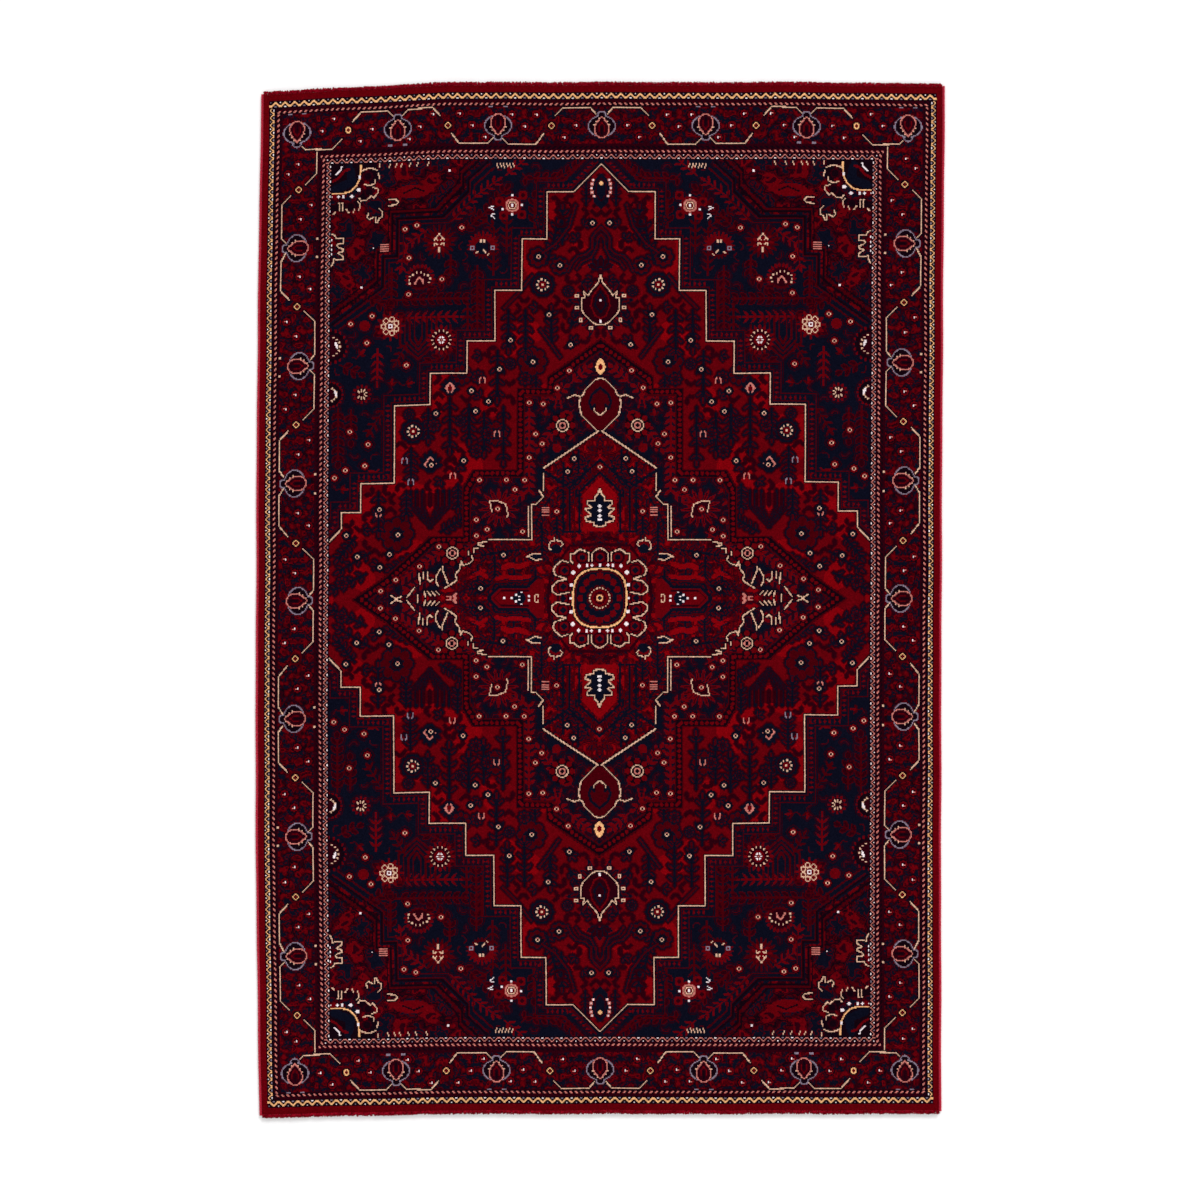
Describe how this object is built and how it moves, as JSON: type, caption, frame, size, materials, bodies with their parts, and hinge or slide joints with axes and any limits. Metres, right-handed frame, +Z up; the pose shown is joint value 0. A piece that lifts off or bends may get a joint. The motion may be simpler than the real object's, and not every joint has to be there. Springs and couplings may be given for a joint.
{
  "type": "area rug",
  "caption": "Flat pile-woven area rug with stepped medallions, a vine border, overcast long sides and hemmed short ends.",
  "frame": {"origin": "middle of the underside, on the floor", "axes": "+X across the rug, +Y along it towards the head end, +Z up out of the pile"},
  "size_m": [2, 3, 0.0114],
  "materials": {
    "ground_yarn": "woven jute and polyester ground, matt",
    "latex": "thin latex film, matt",
    "hem_thread": "twisted polyester thread",
    "serging_yarn": "overcast polypropylene yarn, slight sheen",
    "cord": "twisted jute cord",
    "edge_pile": "cut pile, crimson, slight sheen",
    "guard_pile": "cut pile, gold, salmon and white on near black",
    "border_pile": "cut pile, dark red and navy",
    "field_pile": "cut pile, navy with dark red",
    "spandrel_pile": "cut pile, dark red",
    "medallion_pile": "cut pile, crimson with navy",
    "cartouche_pile": "cut pile, navy with dark red",
    "cross_pile": "cut pile, crimson with navy",
    "rosette_pile": "cut pile, navy, crimson and gold"
  },
  "bodies": {
    "root": {"ground_weave": "ground_yarn", "backing_film": "latex", "hem_thread_head": "hem_thread", "hem_thread_foot": "hem_thread", "end_tufts_head": "edge_pile", "end_tufts_foot": "edge_pile", "serging_left": "serging_yarn", "serging_right": "serging_yarn", "serging_cord_left": "cord", "serging_cord_right": "cord", "pile_plain_band": "edge_pile", "pile_outer_guard": "guard_pile", "pile_outer_dashes": "guard_pile", "pile_main_border": "border_pile", "pile_inner_dashes": "guard_pile", "pile_inner_guard": "guard_pile", "pile_medallion": "medallion_pile", "pile_cartouche": "cartouche_pile", "pile_cross": "cross_pile", "pile_centre_rosette": "rosette_pile", "pile_spandrel_head_left": "spandrel_pile", "pile_field_head_left": "field_pile", "pile_spandrel_head_right": "spandrel_pile", "pile_field_head_right": "field_pile", "pile_spandrel_foot_left": "spandrel_pile", "pile_field_foot_left": "field_pile", "pile_spandrel_foot_right": "spandrel_pile", "pile_field_foot_right": "field_pile"}
  },
  "joints": []
}
